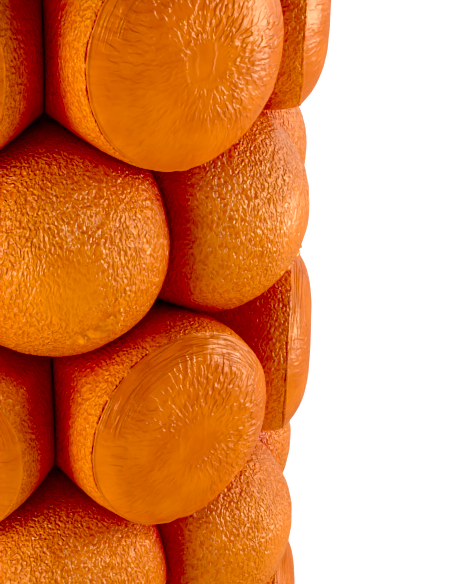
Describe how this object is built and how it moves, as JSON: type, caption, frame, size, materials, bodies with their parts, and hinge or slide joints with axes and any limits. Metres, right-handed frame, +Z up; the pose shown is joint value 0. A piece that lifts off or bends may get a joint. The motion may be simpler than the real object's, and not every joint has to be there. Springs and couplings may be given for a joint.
{
  "type": "massage foam roller",
  "caption": "Massage roller: a hollow core tube covered in soft knobs, with level rows of flat-topped knobs alternating with staggered rows of round knobs.",
  "frame": {"origin": "middle of the lower end of the core tube, on the roller's axis, where the roller stands", "axes": "+Z up along the roller's axis; +Y through the crown of a flat-topped knob of the lowest row; the roller mirrors left to right across the YZ plane"},
  "size_m": [0.147, 0.1478, 0.3326],
  "materials": {
    "core_plastic": "black extruded plastic tube, satin inside, sawn ends",
    "flat_knob_foam": "moulded orange foam: pebbled side wall, semi-gloss wrinkled cap inside a crisp rim",
    "round_knob_foam": "moulded orange foam: pebbled orange-peel skin, semi-gloss"
  },
  "bodies": {
    "root": {"core_tube": "core_plastic", "flat_knob_row1_1": "flat_knob_foam", "flat_knob_row1_2": "flat_knob_foam", "flat_knob_row1_3": "flat_knob_foam", "flat_knob_row1_4": "flat_knob_foam", "flat_knob_row1_5": "flat_knob_foam", "flat_knob_row1_6": "flat_knob_foam", "flat_knob_row1_7": "flat_knob_foam", "flat_knob_row3_1": "flat_knob_foam", "flat_knob_row3_2": "flat_knob_foam", "flat_knob_row3_3": "flat_knob_foam", "flat_knob_row3_4": "flat_knob_foam", "flat_knob_row3_5": "flat_knob_foam", "flat_knob_row3_6": "flat_knob_foam", "flat_knob_row3_7": "flat_knob_foam", "flat_knob_row5_1": "flat_knob_foam", "flat_knob_row5_2": "flat_knob_foam", "flat_knob_row5_3": "flat_knob_foam", "flat_knob_row5_4": "flat_knob_foam", "flat_knob_row5_5": "flat_knob_foam", "flat_knob_row5_6": "flat_knob_foam", "flat_knob_row5_7": "flat_knob_foam", "flat_knob_row7_1": "flat_knob_foam", "flat_knob_row7_2": "flat_knob_foam", "flat_knob_row7_3": "flat_knob_foam", "flat_knob_row7_4": "flat_knob_foam", "flat_knob_row7_5": "flat_knob_foam", "flat_knob_row7_6": "flat_knob_foam", "flat_knob_row7_7": "flat_knob_foam", "round_knob_row2_1": "round_knob_foam", "round_knob_row2_2": "round_knob_foam", "round_knob_row2_3": "round_knob_foam", "round_knob_row2_4": "round_knob_foam", "round_knob_row2_5": "round_knob_foam", "round_knob_row2_6": "round_knob_foam", "round_knob_row2_7": "round_knob_foam", "round_knob_row4_1": "round_knob_foam", "round_knob_row4_2": "round_knob_foam", "round_knob_row4_3": "round_knob_foam", "round_knob_row4_4": "round_knob_foam", "round_knob_row4_5": "round_knob_foam", "round_knob_row4_6": "round_knob_foam", "round_knob_row4_7": "round_knob_foam", "round_knob_row6_1": "round_knob_foam", "round_knob_row6_2": "round_knob_foam", "round_knob_row6_3": "round_knob_foam", "round_knob_row6_4": "round_knob_foam", "round_knob_row6_5": "round_knob_foam", "round_knob_row6_6": "round_knob_foam", "round_knob_row6_7": "round_knob_foam"}
  },
  "joints": []
}
